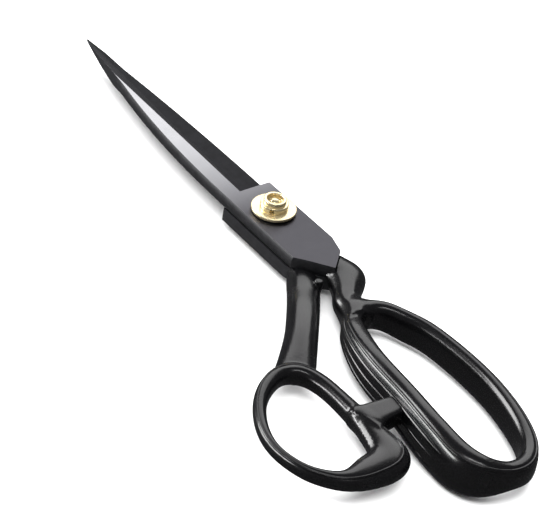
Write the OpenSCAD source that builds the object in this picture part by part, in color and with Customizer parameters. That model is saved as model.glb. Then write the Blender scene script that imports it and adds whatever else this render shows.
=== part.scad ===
// Bent-handle fabric shears: two ground blades on a cast finger bow and a cast thumb loop,
// held by a keyed bolt, a spring washer, a brass washer and a notched brass nut.
// X runs along the blades (tip towards -X), Z is the pivot axis, and z = 0 is the outer
// face of the bolt's head. The nut is on top.

/* [Blades] */
// Distance from the pivot to the point of the blades
tip_reach = 111.2; // [92:0.1:134]
// Distance from the pivot to the step where each blade leaves its pivot plate
heel_reach = 12.8; // [11:0.1:15]
// Thickness of each blade and its pivot plate
blade_t = 4.5; // [3.7:0.1:5.5]
// Distance from the pivot to the spine edge of each pivot plate
spine_y = 9.5; // [8.5:0.1:11]
// Distance from the pivot to the heel edge of the upper blade's pivot plate
heel_y = 8.3; // [7.4:0.1:9]
// How much further the lower blade's pivot plate reaches at its heel edge
lower_heel = 1.2; // [0:0.1:1.6]
// Distance from the pivot to the point of each pivot plate's end wall
plate_reach = 32.4; // [27:0.1:39]
// Clear space between the two blades' inner faces
blade_gap = 0.1; // [0.05:0.01:0.2]
// Sideways place of the point, towards the finger bow's outer bar
tip_y = 5.2; // [4:0.1:6.4]
// Width of the squared point of each blade
point_w = 0.4; // [0.3:0.1:0.8]

/* [Pivot] */
// Radius of the bolt's round shank
bolt_r = 2.5; // [2:0.05:3]
// Radius of the bolt's threaded end
thread_r = 2; // [1.6:0.05:2]
// How far the bolt's square neck stands out past its round shank
neck_step = 0.1; // [0.05:0.05:0.6]
// Radius of the bolt's head
head_r = 5.5; // [4.6:0.1:6.6]
// Height of the bolt's head
head_h = 1.3; // [1:0.1:2]
// Width of the bevel round the bolt's head and of the one at its threaded end
bolt_bevel = 0.4; // [0.2:0.1:0.6]
// Radius of the brass washer
washer_r = 7.2; // [6:0.05:8.7]
// Thickness of the brass washer
washer_t = 0.9; // [0.7:0.1:1.4]
// Radius of the spring washer
spring_r = 6.4; // [5.3:0.1:7.7]
// Thickness of the spring washer
spring_t = 0.5; // [0.4:0.1:1]
// Radius of the nut's lower round
nut_r = 4.45; // [3.9:0.05:5.4]
// Height of the nut's lower round
nut_low_h = 1.9; // [1.4:0.1:2.6]
// Radius of the nut's upper round
nut_top_r = 3.65; // [3.3:0.05:3.9]
// Height of the nut's upper round
nut_top_h = 1.4; // [1:0.1:2]
// Wall left round the recess in the top of the nut
nut_wall = 1.2; // [0.8:0.1:1.3]
// Depth of the recess in the top of the nut
recess_h = 1.3; // [0.8:0.1:2]
// Width of the two wrench notches in the nut
notch_w = 1.7; // [1.2:0.1:2.2]
// How deep each wrench notch is cut into the nut's upper round
notch_in = 0.4; // [0.2:0.1:0.6]
// Height of the wrench notches' floor above the washer
notch_floor = 0.5; // [0.3:0.1:1]
// Where the wrench notches stand when the nut is tight, round the bolt
notch_turn = -50; // [-90:1:90]

/* [Handles] */
// Length that the handles' centre lines are drawn over, from the end of the pivot plates
handle_len = 100; // [84:1:120]
// Depth of the round shanks, through the thickness of the shears
shank_h = 8.4; // [7.6:0.1:10]
// Depth of the finger bow's outer bar
outer_bar_h = 8.6; // [7.6:0.1:10]
// Depth of the finger bow's wide finger rest
finger_rest_h = 16; // [13.4:0.1:19]
// Thickness of the finger rest
finger_rest_w = 6.3; // [5.4:0.1:7]
// Thickness of the finger bow's bars
bow_bar_w = 4.6; // [3.9:0.1:5.5]
// Depth of the thumb loop's ring
loop_h = 6.2; // [5.2:0.1:7.4]
// Thickness of the thumb loop's ring
loop_bar_w = 3.9; // [3.3:0.1:4.7]
// Thickness of the thumb rest
thumb_rest_w = 10.4; // [8.7:0.1:11.6]
// Radius of the small hook nub on the thumb shank
nub_r = 1.3; // [1.1:0.1:1.6]

/* [Tangs] */
// Width of the tangs that hold the handles on the blades
tang_w = 4.4; // [4:0.1:5]
// Thickness of the tangs
tang_t = 2.6; // [2.2:0.1:2.8]
// Length of the tangs, from inside the pivot plates
tang_len = 18; // [15:0.5:19]
// Height of the tangs above the blades' inner faces
tang_rise = 0.8; // [0.6:0.1:1.1]

/* [Fits] */
// Radial clearance of the bolt in the upper blade
bolt_fit = 0.05; // [0.02:0.01:0.1]
// Clearance of the brass and steel washers on the bolt, and of the nut on its thread
washer_fit = 0.08; // [0.05:0.01:0.1]
// Clearance of the tangs and the square neck in their sockets
socket_fit = 0.05; // [0.02:0.01:0.1]
// Clearance between the parts of the two levers that pass each other
lever_gap = 0.35; // [0.3:0.05:0.5]
// Space left between the closed stop lug and the finger rest
stop_gap = 0.1; // [0.05:0.05:0.3]

/* [Hidden] */

steps = 4;                      // slices between two control points of a handle
ring_points = 12;               // points round a handle's section
eps = 0.01;                     // cutters run this far past the faces they cut
blade_stations = 24;            // sections along a blade
spine_curve = 2.2;              // power that the spine falls to the point with
edge_min = 0.4;                 // least thickness left along the land
heel_lap = 2;                   // each blade starts this far inside its pivot plate
half_gap = blade_gap / 2;
meet_z = head_h + blade_t + half_gap;            // plane where the blades meet
plate_z = half_gap + blade_t;                    // outer face of the upper plate, over meet_z
washer_z = plate_z + spring_t;                   // under face of the brass washer
nut_z = washer_z + washer_t;                     // under face of the nut
nut_h = nut_low_h + nut_top_h;
bolt_top = nut_z + nut_h - 0.3;                  // the bolt ends just inside the nut
neck_side = 2 * (bolt_r + neck_step);

// How the four parts of the handles are rounded: 2 is an ellipse, higher is squarer
bow_square = 3.4;
finger_shank_square = 2.6;
loop_square = 2.5;
thumb_shank_square = 2.4;
lug_square = 4;

// Pivot plate, spine edge towards -Y: heel step, heel edge, pointed end wall, spine edge
end_bevel = [12.8, 6.5];        // length of the end wall's bevel, and of its first short side
end_drop = [1.8, 0.4];          // sideways place of the end wall's two corners
spine_bevel = 10.2;             // length of the end wall's long side
function plate_outline(heel) =
    [[-heel_reach, heel - 0.3], [plate_reach - end_bevel[0], heel],
     [plate_reach - end_bevel[1], heel - end_drop[0]], [plate_reach, -end_drop[1]],
     [plate_reach - spine_bevel, -spine_y], [-heel_reach, -spine_y]];

// Control points are [x, y, bar thickness, depth], with x in hundredths of handle_len from
// the end of the pivot plates. Where they aren't nought, the height of the bar's centre over
// the meeting plane and its lean, outwards for each millimetre upwards, come after those
// Centre line of the finger bow
bow_path = [[17.5, -2.9, 6.8, outer_bar_h + 0.4, -0.2],
            [20.7, 2.7, bow_bar_w + 1.2, outer_bar_h + 1, -0.4, 0.05],
            [28, 6.3, bow_bar_w + 0.6, outer_bar_h + 1.4, -0.7, 0.1],
            [36.8, 8.8, bow_bar_w + 0.2, outer_bar_h + 1.4, -0.7, 0.1],
            [51, 9.8, bow_bar_w + 0.2, outer_bar_h + 1.6, -0.8, 0.1],
            [64.8, 9.1, bow_bar_w + 0.4, outer_bar_h + 1.6, -0.8, 0.1],
            [78.5, 6.1, bow_bar_w + 0.8, outer_bar_h + 1.2, -0.6, 0.1],
            [89.3, 1.6, bow_bar_w + 1.2, outer_bar_h + 0.6, -0.3, 0.05],
            [95.4, -4.7, bow_bar_w + 1.5, outer_bar_h + 0.4, 0.3],
            [96.2, -11.8, 6.6, finger_rest_h - 7, 0.9],
            [92.8, -18.7, 7.8, finger_rest_h - 3.2, 0.9, -0.05],
            [85.4, -21.7, 9, finger_rest_h - 1, 0.5, -0.05],
            [73, -21.1, finger_rest_w + 2, finger_rest_h - 0.2, 0.4, -0.05],
            [58.4, -19.1, finger_rest_w + 1.5, finger_rest_h - 1.4, 0.6, -0.05],
            [40.2, -17.1, finger_rest_w + 1.4, finger_rest_h - 2.6, 0.8, -0.05],
            [26.4, -12.5, finger_rest_w + 1.2, finger_rest_h - 5.4, 0.5], [19.4, -7.8, 6, shank_h]];

// Centre line of the finger shank, from the pivot plate to the bow
finger_shank_path = [[-8.4, 1.8, 9, shank_h], [-3.4, 3, 11.2, shank_h], [1.6, 3.1, 12.6, shank_h],
                     [7.3, -0.9, 9.4, shank_h], [12.4, -4.6, 8.4, shank_h], [19.4, -6.6, 6.4, shank_h]];

// Centre line of the thumb loop
loop_path = [[29.6, -43.4, loop_bar_w + 1.4, loop_h], [32.4, -50.6, loop_bar_w + 1.1, loop_h - 0.2],
             [38.8, -57.5, loop_bar_w + 0.3, loop_h - 0.8],
             [48.2, -62.7, loop_bar_w - 0.1, loop_h - 1.2],
             [57.5, -64.2, loop_bar_w - 0.5, loop_h - 1.2],
             [67.6, -61.6, loop_bar_w - 0.1, loop_h - 0.8],
             [74.6, -54.9, loop_bar_w + 2.3, loop_h - 0.4],
             [75.7, -45.9, thumb_rest_w + 1, loop_h + 0.8],
             [73.1, -36.9, thumb_rest_w + 2.2, loop_h + 1.4],
             [61.4, -34.9, loop_bar_w + 3.5, loop_h + 1], [48.6, -34.4, loop_bar_w + 1.4, loop_h + 0.6],
             [38.4, -34.9, loop_bar_w + 1.2, loop_h + 0.4], [32, -37.6, loop_bar_w + 1.3, loop_h + 0.4]];

// Centre line of the thumb shank, from the pivot plate to the loop
thumb_shank_path = [[-9.1, -5.6, 9, shank_h, -2.4], [-4.6, -8.2, 10.4, shank_h, -2.4],
                    [0.6, -12, 10.4, shank_h, -2.2], [7.8, -17.8, 10.3, shank_h, -1.2],
                    [16.8, -25.4, 10.4, shank_h - 0.2, -0.6], [24.4, -32.4, 11.4, shank_h - 1.2, -0.6],
                    [31.2, -39, 12.8, loop_h - 0.6, -0.6]];

// Stop lug, from the top of the loop to the finger rest
lug_path = [[59.4, -35, 10.6, loop_h + 0.2, 0.5], [58.6, -32, 9.6, loop_h + 0.8, 0.7],
            [58.6, -25, 7.8, loop_h + 0.8, 0.9], [58.2, -17, 6.4, loop_h + 0.8, 0.9]];

// Nub on the inner side of the thumb shank: place, underside and height
nub_place = [0.2, -6.4];
nub_z = -1.4;
nub_h = 3.4;

// Directions of the two tangs, and where they start
upper_tang_way = -18;
lower_tang_way = -38;
tang_back = 10;                 // the tangs start this far inside the end of the plates
upper_tang_shift = [0, 5];
lower_tang_shift = [-2, -4.5];

function along(x) = plate_reach + x * handle_len / 100;

// A uniform Catmull-Rom curve through four values
function curve(a, b, c, d, t) =
    0.5 * (2 * b + (c - a) * t + (2 * a - 5 * b + 4 * c - d) * t * t
           + (3 * b - a - 3 * c + d) * t * t * t);
function clamped(i, n) = min(max(i, 0), n - 1);
function placed(path) = [for (q = path)
    [along(q[0]), q[1], q[2], q[3], len(q) > 4 ? q[4] : 0, len(q) > 5 ? q[5] : 0]];
function closed_curve(p) = let (n = len(p))
    [for (i = [0:n - 1], k = [0:steps - 1])
        curve(p[(i + n - 1) % n], p[i], p[(i + 1) % n], p[(i + 2) % n], k / steps)];
function open_curve(p) = let (n = len(p))
    [for (i = [0:n - 2], k = [0:(i == n - 2 ? steps : steps - 1)])
        curve(p[clamped(i - 1, n)], p[i], p[i + 1], p[clamped(i + 2, n)], k / steps)];
function signed_power(v, e) = sign(v) * pow(abs(v), e);
// Section with flat sides and well rounded corners
function section(w, h, squareness) =
    [for (i = [0:ring_points - 1]) let (a = (i + 0.5) * 360 / ring_points)
        [w / 2 * signed_power(cos(a), 2 / squareness), h / 2 * signed_power(sin(a), 2 / squareness)]];

// A tube of changing section along a path; a closed path ends where it starts
module tube(path, closed, squareness, grow) {
    points = closed ? closed_curve(placed(path)) : open_curve(placed(path));
    n = len(points);
    m = ring_points;
    rings = [for (i = [0:n - 1]) let (
            before = points[closed ? (i + n - 1) % n : clamped(i - 1, n)],
            after = points[closed ? (i + 1) % n : clamped(i + 1, n)],
            way = atan2(after[1] - before[1], after[0] - before[0]),
            p = points[i])
        [for (q = section(p[2] + 2 * grow, p[3] + 2 * grow, squareness)) let (
                out = q[0] + p[5] * q[1])
            [p[0] - out * sin(way), p[1] + out * cos(way), q[1] + p[4]]]];
    spans = closed ? n - 1 : n - 2;
    sides = [for (i = [0:spans], k = [0:m - 1]) let (
            a = i * m + k, b = i * m + (k + 1) % m,
            c = ((i + 1) % n) * m + k, d = ((i + 1) % n) * m + (k + 1) % m)
        each [[a, d, b], [a, c, d]]];
    ends = closed ? [] : [[for (k = [0:m - 1]) k], [for (k = [0:m - 1]) (n - 1) * m + m - 1 - k]];
    polyhedron([for (r = rings, p = r) p], concat(sides, ends));
}
module ring_bar(path, squareness, grow = 0) { tube(path, true, squareness, grow); }
module open_bar(path, squareness, grow = 0) { tube(path, false, squareness, grow); }

// Pivot plate of the upper lever; turned over, and with its own heel, it is the lower one's
module plate(heel, grow = 0, low = half_gap, high = plate_z) {
    translate([0, 0, low]) linear_extrude(high - low)
        if (grow > 0) offset(delta = grow) polygon(plate_outline(heel));
        else polygon(plate_outline(heel));
}

// One blade with its spine towards -Y and its inner face at half_gap. The flat land behind
// the cutting bevel starts at land_y and moves sideways by land_move on the way to the point
module blade(point_y, edge_y, land_y, land_move) {
    reach = tip_reach - heel_reach;
    sections = [for (i = [0:blade_stations]) let (
            s = i / blade_stations,
            x = -heel_reach + (i == 0 ? heel_lap : 0) - s * reach,
            spine = -spine_y + (point_y - point_w + spine_y) * pow(s, spine_curve),
            edge = edge_y + (point_y - edge_y) * s,
            land = land_y + land_move * s,
            top = max(edge_min, min(blade_t, blade_t * (edge - spine) / max(edge - land, 0.1))),
            shoulder = max(land, spine + 0.05))
        [[x, spine, half_gap], [x, edge, half_gap], [x, shoulder, half_gap + top],
         [x, spine, half_gap + top]]];
    last = 4 * blade_stations;
    polyhedron([for (s = sections, p = s) p],
        concat([[3, 2, 1, 0]],
               [for (i = [0:blade_stations - 1], k = [0:3]) let (a = 4 * i + k, b = 4 * i + (k + 1) % 4)
                   each [[a, b, b + 4], [a, b + 4, a + 4]]],
               [[last, last + 1, last + 2, last + 3]]));
}

// A tang that starts inside a pivot plate; low is its underside, over the meeting plane
module tang(way, low, grow) {
    translate([plate_reach - tang_back, 0, low - grow])
        rotate([0, 0, way]) translate([0, -tang_w / 2 - grow, 0])
            cube([tang_len + grow, tang_w + 2 * grow, tang_t + 2 * grow]);
}
module upper_tang(grow = 0) {
    translate(upper_tang_shift) tang(upper_tang_way, tang_rise, grow);
}
module lower_tang(grow = 0) {
    translate(lower_tang_shift) tang(lower_tang_way, -tang_rise - tang_t, grow);
}

module upper_blade() {
    color("#5f5f63") translate([0, 0, meet_z]) difference() {
        union() {
            plate(heel_y);
            blade(tip_y, 0.6, -3.6, 1.75);
            upper_tang();
        }
        translate([0, 0, -eps]) cylinder(r = bolt_r + bolt_fit, h = plate_z + 2 * eps, $fn = 64);
    }
}

module lower_blade() {
    side = neck_side + 2 * socket_fit;
    color("#3a3a3c") translate([0, 0, meet_z]) difference() {
        union() {
            rotate([180, 0, 0]) plate(heel_y + lower_heel);
            rotate([180, 0, 0]) blade(-tip_y, 1.6, -2.6, -4.2);
            lower_tang();
        }
        translate([-side / 2, -side / 2, -plate_z - eps]) cube([side, side, plate_z + 2 * eps]);
    }
}

module finger_bow(grow = 0) { ring_bar(bow_path, bow_square, grow); }
module finger_shank(grow = 0) { open_bar(finger_shank_path, finger_shank_square, grow); }

module finger_handle() {
    color("#151515") translate([0, 0, meet_z]) difference() {
        union() {
            finger_bow();
            finger_shank();
        }
        plate(heel_y, socket_fit, -eps, shank_h);
        upper_tang(socket_fit);
        // the lower lever's plate swings below this shank
        translate([0, 0, -shank_h])
            cylinder(r = plate_reach + lever_gap, h = shank_h + lever_gap, $fn = 128);
    }
}

module thumb_handle() {
    color("#151515") translate([0, 0, meet_z]) difference() {
        union() {
            ring_bar(loop_path, loop_square);
            open_bar(thumb_shank_path, thumb_shank_square);
            open_bar(lug_path, lug_square);
            translate([along(nub_place[0]), nub_place[1], nub_z]) cylinder(r = nub_r, h = nub_h, $fn = 24);
        }
        rotate([180, 0, 0]) plate(heel_y + lower_heel, socket_fit, -eps, shank_h);
        lower_tang(socket_fit);
        // clear of the upper lever's plate, shank and finger rest
        plate(heel_y, lever_gap, -lever_gap, shank_h);
        finger_shank(lever_gap);
        finger_bow(stop_gap);
    }
}

module pivot_bolt() {
    color("#d9c27a") {
        cylinder(r1 = head_r - bolt_bevel, r2 = head_r, h = bolt_bevel, $fn = 64);
        translate([0, 0, bolt_bevel]) cylinder(r = head_r, h = head_h - bolt_bevel, $fn = 64);
        translate([-neck_side / 2, -neck_side / 2, head_h - eps])
            cube([neck_side, neck_side, blade_t + eps]);
        translate([0, 0, head_h]) cylinder(r = bolt_r, h = meet_z + washer_z - head_h, $fn = 64);
        translate([0, 0, head_h])
            cylinder(r = thread_r, h = meet_z + bolt_top - head_h - bolt_bevel, $fn = 64);
        translate([0, 0, meet_z + bolt_top - bolt_bevel])
            cylinder(r1 = thread_r, r2 = thread_r - bolt_bevel, h = bolt_bevel, $fn = 64);
    }
}

module round_washer(r, hole_r, t) {
    difference() {
        cylinder(r = r, h = t, $fn = 96);
        translate([0, 0, -eps]) cylinder(r = hole_r, h = t + 2 * eps, $fn = 64);
    }
}

module spring_washer() {
    color("#1c1c1c") translate([0, 0, meet_z + plate_z])
        round_washer(spring_r, bolt_r + washer_fit, spring_t);
}

module pivot_washer() {
    color("#efe0a8") translate([0, 0, meet_z + washer_z])
        round_washer(washer_r, thread_r + washer_fit, washer_t);
}

module pivot_nut() {
    color("#e3cb85") translate([0, 0, meet_z + nut_z]) difference() {
        union() {
            cylinder(r = nut_r, h = nut_low_h, $fn = 96);
            cylinder(r = nut_top_r, h = nut_h, $fn = 96);
        }
        translate([0, 0, -eps]) cylinder(r = thread_r + washer_fit, h = nut_h + 2 * eps, $fn = 64);
        translate([0, 0, nut_h - recess_h])
            cylinder(r = nut_top_r - nut_wall, h = recess_h + eps, $fn = 64);
        for (side = [0, 180]) rotate([0, 0, notch_turn + side])
            translate([nut_top_r - notch_in, -notch_w / 2, notch_floor])
                cube([nut_r - nut_top_r + notch_in + eps, notch_w, nut_h]);
    }
}

upper_blade();
lower_blade();
finger_handle();
thumb_handle();
pivot_bolt();
spring_washer();
pivot_washer();
pivot_nut();
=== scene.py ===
"""Bent-handle fabric shears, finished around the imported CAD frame.

Lengths in the tables are millimetres; meshes are made in metres, in the frame's own axes:
the pivot is the Z axis, the blades point to -X and the nut is on top.
"""
import math
from itertools import product

import bpy
import bmesh
import numpy as np
from mathutils import Matrix, Vector


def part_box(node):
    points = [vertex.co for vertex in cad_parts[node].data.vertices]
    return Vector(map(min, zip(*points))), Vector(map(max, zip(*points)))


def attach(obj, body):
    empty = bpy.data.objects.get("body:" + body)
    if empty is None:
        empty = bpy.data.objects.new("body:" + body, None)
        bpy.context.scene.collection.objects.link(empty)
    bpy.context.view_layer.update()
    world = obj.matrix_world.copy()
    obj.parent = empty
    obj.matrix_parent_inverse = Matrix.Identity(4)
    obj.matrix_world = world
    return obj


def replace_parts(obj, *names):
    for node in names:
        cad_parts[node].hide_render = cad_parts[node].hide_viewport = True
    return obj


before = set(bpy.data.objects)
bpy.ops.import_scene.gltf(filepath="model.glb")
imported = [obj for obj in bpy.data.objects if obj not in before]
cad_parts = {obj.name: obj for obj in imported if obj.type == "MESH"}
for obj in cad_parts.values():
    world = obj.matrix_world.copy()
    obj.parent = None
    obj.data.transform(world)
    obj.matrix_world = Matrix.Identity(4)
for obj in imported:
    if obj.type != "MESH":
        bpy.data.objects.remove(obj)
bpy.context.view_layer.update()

bl_info = {
    "name": "Fabric Shears",
    "version": (1, 0, 0),
    "blender": (4, 5, 0),
    "location": "View3D > Sidebar > Shears",
    "description": "Makes the blades, handles, pivot and studio of a pair of bent-handle shears",
    "category": "Add Mesh",
}

MM = 0.001
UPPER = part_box("upper_blade")
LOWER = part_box("lower_blade")
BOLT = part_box("pivot_bolt")
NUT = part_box("pivot_nut")
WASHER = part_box("pivot_washer")
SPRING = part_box("spring_washer")
MEET = (UPPER[0].z + LOWER[1].z) / 2          # plane where the blades meet
HALF_GAP = (UPPER[0].z - LOWER[1].z) / 2
PLATE_T = SPRING[0].z - UPPER[0].z            # thickness of a blade and its pivot plate
FLOOR_Z = min(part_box(name)[0].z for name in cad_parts)
Q = 1.0 / MM                                  # frame lengths to millimetres


# ---------------------------------------------------------------- sizes and colours

def length(name, text, default):
    return bpy.props.FloatProperty(name=name, description=text, default=default, min=0.0,
                                   subtype="DISTANCE", unit="LENGTH", precision=5)


def colour(name, text, code):
    return bpy.props.FloatVectorProperty(name=name, description=text, subtype="COLOR", size=3,
                                         min=0.0, max=1.0, default=linear(code))


def linear(code):
    """An sRGB hex colour as linear light."""
    parts = [int(code[i:i + 2], 16) / 255 for i in (1, 3, 5)]
    return tuple(p / 12.92 if p <= 0.04045 else ((p + 0.055) / 1.055) ** 2.4 for p in parts)


class ShearsBladeSizes(bpy.types.PropertyGroup):
    tip_reach: length("Tip reach", "Pivot to the point of the blades", -UPPER[0].x)
    heel_reach: length("Heel reach", "Pivot to the step where a blade leaves its plate", 0.0128)
    spine_side: length("Spine side", "Pivot to the spine edge of a pivot plate", -UPPER[0].y)
    plate_reach: length("Plate reach", "Pivot to the point of a plate's end wall", 0.0324)
    upper_heel: length("Upper heel", "Pivot to the upper plate's heel edge", 0.0083)
    lower_heel: length("Lower heel", "Pivot to the lower plate's heel edge", 0.0095)
    tip_side: length("Tip side", "Sideways place of the point", 0.0052)
    edge_bevel: length("Edge bevel", "Small bevel along a blade's ground edges", 0.00016)
    hollow: length("Hollow", "Depth of the hollow ground into a blade's inner face", 0.00012)


class ShearsHandleSizes(bpy.types.PropertyGroup):
    plate_end: length("Plate end", "Pivot to where the handles' centre lines are measured from", 0.0324)
    shank_depth: length("Shank depth", "Depth of the shanks", 0.0084)
    outer_bar_depth: length("Outer bar depth", "Depth of the finger bow's outer bar", 0.0086)
    finger_rest_depth: length("Finger rest depth", "Depth of the finger rest", 0.016)
    finger_rest_width: length("Finger rest width", "Thickness of the finger rest", 0.0063)
    bow_bar_width: length("Bow bar width", "Thickness of the finger bow's bar", 0.0046)
    loop_depth: length("Loop depth", "Depth of the thumb loop's ring", 0.0062)
    loop_bar_width: length("Loop bar width", "Thickness of the thumb loop's ring", 0.0039)
    thumb_rest_width: length("Thumb rest width", "Thickness of the thumb rest", 0.0104)
    grid: length("Casting grid", "Spacing of the grid that the castings are drawn on", 0.00034)
    rib_count: bpy.props.IntProperty(name="Ribs", description="Ribs along the finger rest's wall",
                                     default=3, min=1, max=6)
    rib_radius: length("Rib radius", "Radius of the ribs on the finger rest's wall", 0.0008)
    bead_radius: length("Bead radius", "Radius of the beads round the bows' front rims", 0.0006)


class ShearsPivotSizes(bpy.types.PropertyGroup):
    washer_edge: length("Washer edge", "Rounding of the brass washer's rim", 0.0002)
    nut_edge: length("Nut edge", "Rounding of the nut's rims", 0.00022)
    nut_low: length("Nut step", "Height of the nut's lower round", 0.0019)
    nut_top_radius: length("Nut top radius", "Radius of the nut's upper round", 0.0036)
    recess_depth: length("Recess depth", "Depth of the recess in the nut", 0.0016)
    recess_radius: length("Recess radius", "Radius of the recess in the nut", 0.0026)
    thread_radius: length("Thread radius", "Radius of the bolt's threaded end", 0.002)
    bolt_radius: length("Bolt radius", "Radius of the bolt's round shank", 0.0025)
    neck_side: length("Neck side", "Side of the bolt's square neck", 0.0052)
    notch_width: length("Notch width", "Width of the wrench notches", 0.0014)


class ShearsColours(bpy.types.PropertyGroup):
    # The ground blade's colour runs from the bright steel at the point to the plate's tone. The darker
    # plate is partly its satin finish and partly painted shade.
    bright_steel: colour("Bright steel", "Ground steel towards the point", "#B6B6B9")
    plate_steel_and_shade: colour("Plate steel", "Satin steel of the upper pivot plate", "#5C5B60")
    black_steel: colour("Black steel", "Blackened faces of the blades", "#19191B")
    enamel: colour("Enamel", "Gloss enamel of the handles", "#070708")
    brass: colour("Brass", "Washer, nut and bolt", "#FAEAC0")
    # Near-black tone of the spring washer. It is partly painted shade: the washer's rim stands for the
    # shade line under the brass washer.
    spring: colour("Spring steel", "Spring washer under the brass one", "#17171A")
    floor: colour("Floor", "Studio floor", "#F7F7F7")


# ---------------------------------------------------------------- node and mesh helpers

def add(tree, kind, inputs=None, **settings):
    """Adds a node with its settings; an input's value is a number or another node's output."""
    node = tree.nodes.new(kind)
    for key, value in settings.items():
        setattr(node, key, value)
    for key, value in (inputs or {}).items():
        if isinstance(value, bpy.types.NodeSocket):
            tree.links.new(value, node.inputs[key])
        else:
            node.inputs[key].default_value = value
    return node


def new_material(name, base, **principled):
    """A material with its Principled shader; returns the material, its tree and the shader."""
    material = bpy.data.materials.new(name)
    material.use_nodes = True
    tree = material.node_tree
    shader = tree.nodes["Principled BSDF"]
    shader.inputs["Base Color"].default_value = (*base, 1.0)
    for key, value in principled.items():
        shader.inputs[key.replace("_", " ")].default_value = value
    material.diffuse_color = (*base, 1.0)
    return material, tree, shader


def as_object(name, mesh):
    obj = bpy.data.objects.new(name, mesh)
    bpy.context.scene.collection.objects.link(obj)
    return obj


def mesh_piece(name, points, faces, materials, smooth=True, strips=None):
    """A piece from points in millimetres; strips gives each face's material place."""
    mesh = bpy.data.meshes.new(name)
    mesh.from_pydata([tuple(p * MM for p in q) for q in points], [], faces)
    mesh.validate()
    for material in materials:
        mesh.materials.append(material)
    if strips is not None:
        mesh.polygons.foreach_set("material_index", strips)
    mesh.polygons.foreach_set("use_smooth", [smooth] * len(mesh.polygons))
    return as_object(name, mesh)


def outward(obj, merge=1e-7):
    """Merges doubles and turns every face of a closed piece outwards."""
    bm = bmesh.new()
    bm.from_mesh(obj.data)
    bmesh.ops.remove_doubles(bm, verts=bm.verts, dist=merge)
    bmesh.ops.recalc_face_normals(bm, faces=bm.faces)
    bm.to_mesh(obj.data)
    bm.free()
    return obj


def with_modifiers_applied(obj):
    """The piece as a plain mesh, with its modifiers worked in and taken off."""
    graph = bpy.context.evaluated_depsgraph_get()
    mesh = bpy.data.meshes.new_from_object(obj.evaluated_get(graph))
    mesh.name = obj.name
    obj.modifiers.clear()
    obj.data = mesh
    return obj


def cut(obj, tool):
    """Takes the tool's shape out of the piece and removes the tool."""
    knife = obj.modifiers.new("cut", "BOOLEAN")
    knife.operation, knife.solver, knife.object = "DIFFERENCE", "EXACT", tool
    with_modifiers_applied(obj)
    bpy.data.objects.remove(tool)
    return obj


def soften(obj, width, segments=2, angle=32.0):
    """A small bevel on every edge sharper than the angle."""
    bevel = obj.modifiers.new("edge", "BEVEL")
    bevel.width, bevel.segments, bevel.limit_method = width, segments, "ANGLE"
    bevel.angle_limit = math.radians(angle)
    bevel.use_clamp_overlap = True
    return with_modifiers_applied(obj)


def even_shading(obj, angle=28.0):
    """Smooth shading whose normals follow the large faces, with the sharper edges kept."""
    obj.data.polygons.foreach_set("use_smooth", [True] * len(obj.data.polygons))
    obj.data.set_sharp_from_angle(angle=math.radians(angle))
    normals = obj.modifiers.new("even", "WEIGHTED_NORMAL")
    normals.keep_sharp, normals.weight = True, 100
    return with_modifiers_applied(obj)


def lathe(name, outline, materials, turns=96, strips=None):
    """A closed round piece from an outline of (radius, height) in millimetres."""
    points, faces, places = [], [], []
    n = len(outline)
    for k in range(turns):
        a = 2 * math.pi * k / turns
        points += [(r * math.cos(a), r * math.sin(a), z) for r, z in outline]
    for k, i in product(range(turns), range(n)):
        j, after = (i + 1) % n, (k + 1) % turns
        faces.append((k * n + i, k * n + j, after * n + j, after * n + i))
        places.append(strips[i] if strips else 0)
    return outward(mesh_piece(name, points, faces, materials, strips=places), 1e-6)


def square_bar(name, half, low, high, materials):
    """A square bar along the pivot's axis, half its side and its two heights in millimetres."""
    ring = [(-half, -half), (half, -half), (half, half), (-half, half)]
    walls = [(k, (k + 1) % 4, (k + 1) % 4 + 4, k + 4) for k in range(4)]
    return mesh_piece(name, [(x, y, z) for z in (low, high) for x, y in ring],
                      [(3, 2, 1, 0), (4, 5, 6, 7)] + walls, materials, smooth=False)


def rounded(outline, radius, segments=3):
    """An outline with each corner that names a rounding turned into an arc."""
    out = []
    n = len(outline)
    for i, (p, soft) in enumerate(outline):
        if not soft:
            out.append(p)
            continue
        a, b = Vector(outline[i - 1][0]), Vector(outline[(i + 1) % n][0])
        p = Vector(p)
        into, away = (a - p).normalized() * radius, (b - p).normalized() * radius
        for k in range(segments + 1):
            t = k / segments
            q = (1 - t) ** 2 * (p + into) + 2 * t * (1 - t) * p + t ** 2 * (p + away)
            out.append(tuple(q))
    return out


# ---------------------------------------------------------------- materials

def object_place(tree):
    """Coordinates fixed to the piece, so that a pattern moves with it."""
    return add(tree, "ShaderNodeTexCoord").outputs["Object"]


def noise(tree, place, scale, detail, **more):
    """The value of a noise texture."""
    inputs = {"Vector": place, "Scale": scale, "Detail": detail, **more}
    return add(tree, "ShaderNodeTexNoise", inputs).outputs["Fac"]


def spread(tree, value, low, high, start=0.0, end=1.0):
    """A value between start and end, mapped to between low and high."""
    inputs = {"Value": value, "From Min": start, "From Max": end, "To Min": low, "To Max": high}
    return add(tree, "ShaderNodeMapRange", inputs).outputs["Result"]


def shaded(tree, tone, shade):
    """A colour made lighter or darker by a value."""
    inputs = {0: tone, "Scale": shade}
    return add(tree, "ShaderNodeVectorMath", inputs, operation="SCALE").outputs["Vector"]


def relief(tree, height, strength, distance=0.00002):
    """Normals bent by a fine relief."""
    inputs = {"Height": height, "Strength": strength, "Distance": distance}
    return add(tree, "ShaderNodeBump", inputs).outputs["Normal"]


def wire(tree, shader, **outputs):
    """Links each output to the shader's input of that name."""
    for name, output in outputs.items():
        tree.links.new(output, shader.inputs[name.replace("_", " ")])


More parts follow.
